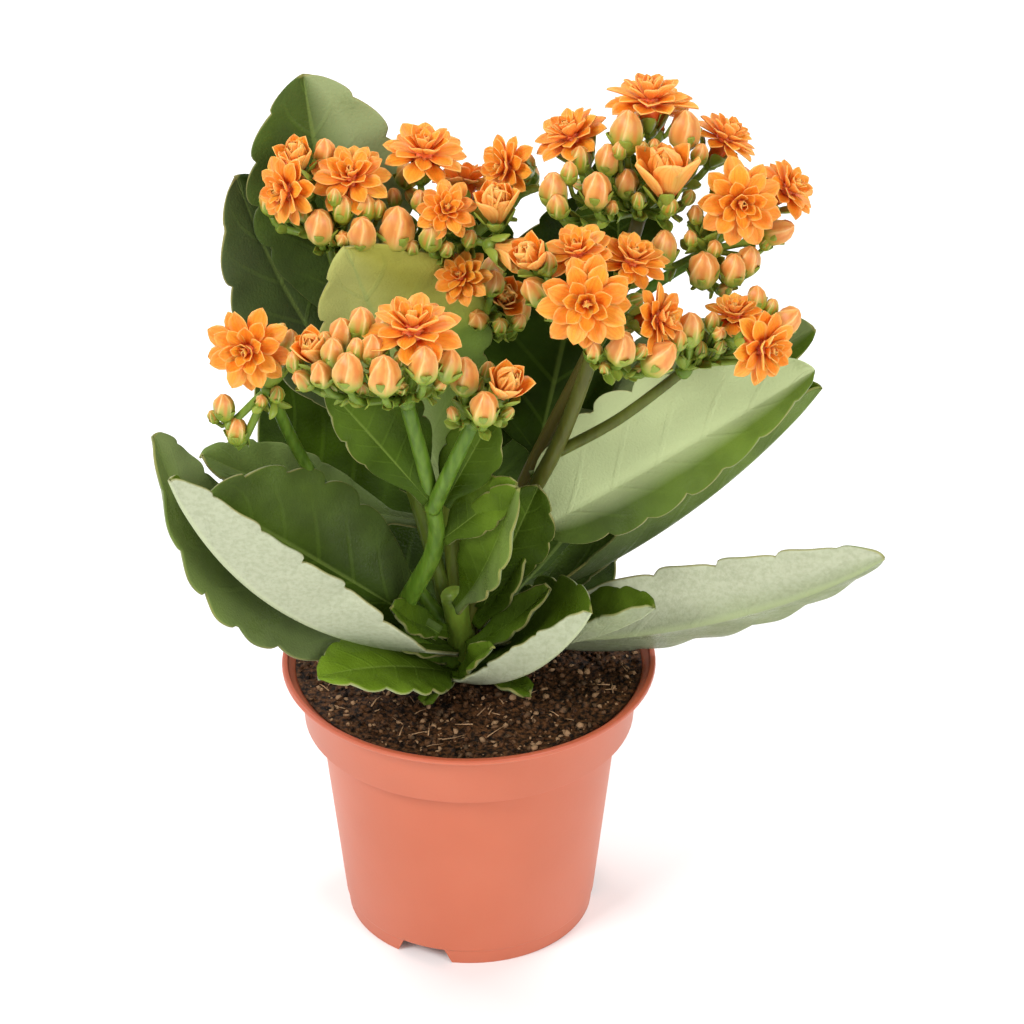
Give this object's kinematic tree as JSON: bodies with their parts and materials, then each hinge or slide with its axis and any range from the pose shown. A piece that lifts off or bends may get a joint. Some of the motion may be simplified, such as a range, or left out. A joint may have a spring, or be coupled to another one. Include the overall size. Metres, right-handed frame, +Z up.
{
  "type": "potted kalanchoe",
  "caption": "Double-flowered kalanchoe with thick scalloped leaves and heads of layered blooms and buds, in a tapered plastic grower's pot.",
  "frame": {"origin": "centre of the pot's foot, on the surface that the pot stands on", "axes": "+Z up; -Y is the pictured front of the plant; +X is to the right in that view"},
  "size_m": [0.196, 0.1425, 0.2546],
  "materials": {
    "pot": "satin terracotta-coloured thin plastic",
    "soil": "moist crumbly peat with pale fibres",
    "stem": "satin light green, smooth",
    "leaf": "waxy satin, deep green above and pale grey-green below, reddish rim",
    "petal": "soft matte orange, paler at the edges",
    "bud": "satin green stalks and cups, cream and peach buds"
  },
  "bodies": {
    "root": {"pot": "pot", "soil": "soil", "bloom_left_1": "petal", "bloom_left_2": "petal", "bloom_middle_1": "petal", "bloom_middle_2": "petal", "bloom_middle_3": "petal", "bloom_middle_4": "petal", "bloom_right_1": "petal", "bloom_right_2": "petal", "bloom_right_3": "petal", "bloom_right_4": "petal", "bloom_right_outer_1": "petal", "bloom_right_outer_2": "petal", "bloom_centre_1": "petal", "bloom_centre_2": "petal", "bloom_centre_3": "petal", "bloom_centre_4": "petal", "bloom_right_low_1": "petal", "bloom_right_low_2": "petal", "bloom_front_1": "petal", "bloom_far_left_1": "petal", "bloom_rear_1": "petal", "spray_left": "bud", "spray_middle": "bud", "spray_right": "bud", "spray_right_outer": "bud", "spray_centre": "bud", "spray_right_low": "bud", "spray_front": "bud", "spray_front_right": "bud", "spray_far_left": "bud", "spray_rear": "bud", "stem": "stem", "leaf_top_left": "leaf", "leaf_back_left": "leaf", "leaf_olive": "leaf", "leaf_left_inner": "leaf", "leaf_left_folded": "leaf", "leaf_left_low": "leaf", "leaf_front_left": "leaf", "leaf_front_right": "leaf", "leaf_front": "leaf", "leaf_right_low": "leaf", "leaf_right_big": "leaf", "leaf_right_under": "leaf", "leaf_centre": "leaf", "leaf_centre_low": "leaf", "leaf_centre_right": "leaf", "leaf_fork_left": "leaf", "leaf_fork_right": "leaf", "leaf_left_middle": "leaf", "leaf_right_back": "leaf", "leaf_right_upper": "leaf", "leaf_rear_left": "leaf", "leaf_rear": "leaf", "leaf_rear_low": "leaf", "leaf_rear_right": "leaf", "leaf_rear_upper_left": "leaf", "leaf_rear_upper_right": "leaf"}
  },
  "joints": []
}
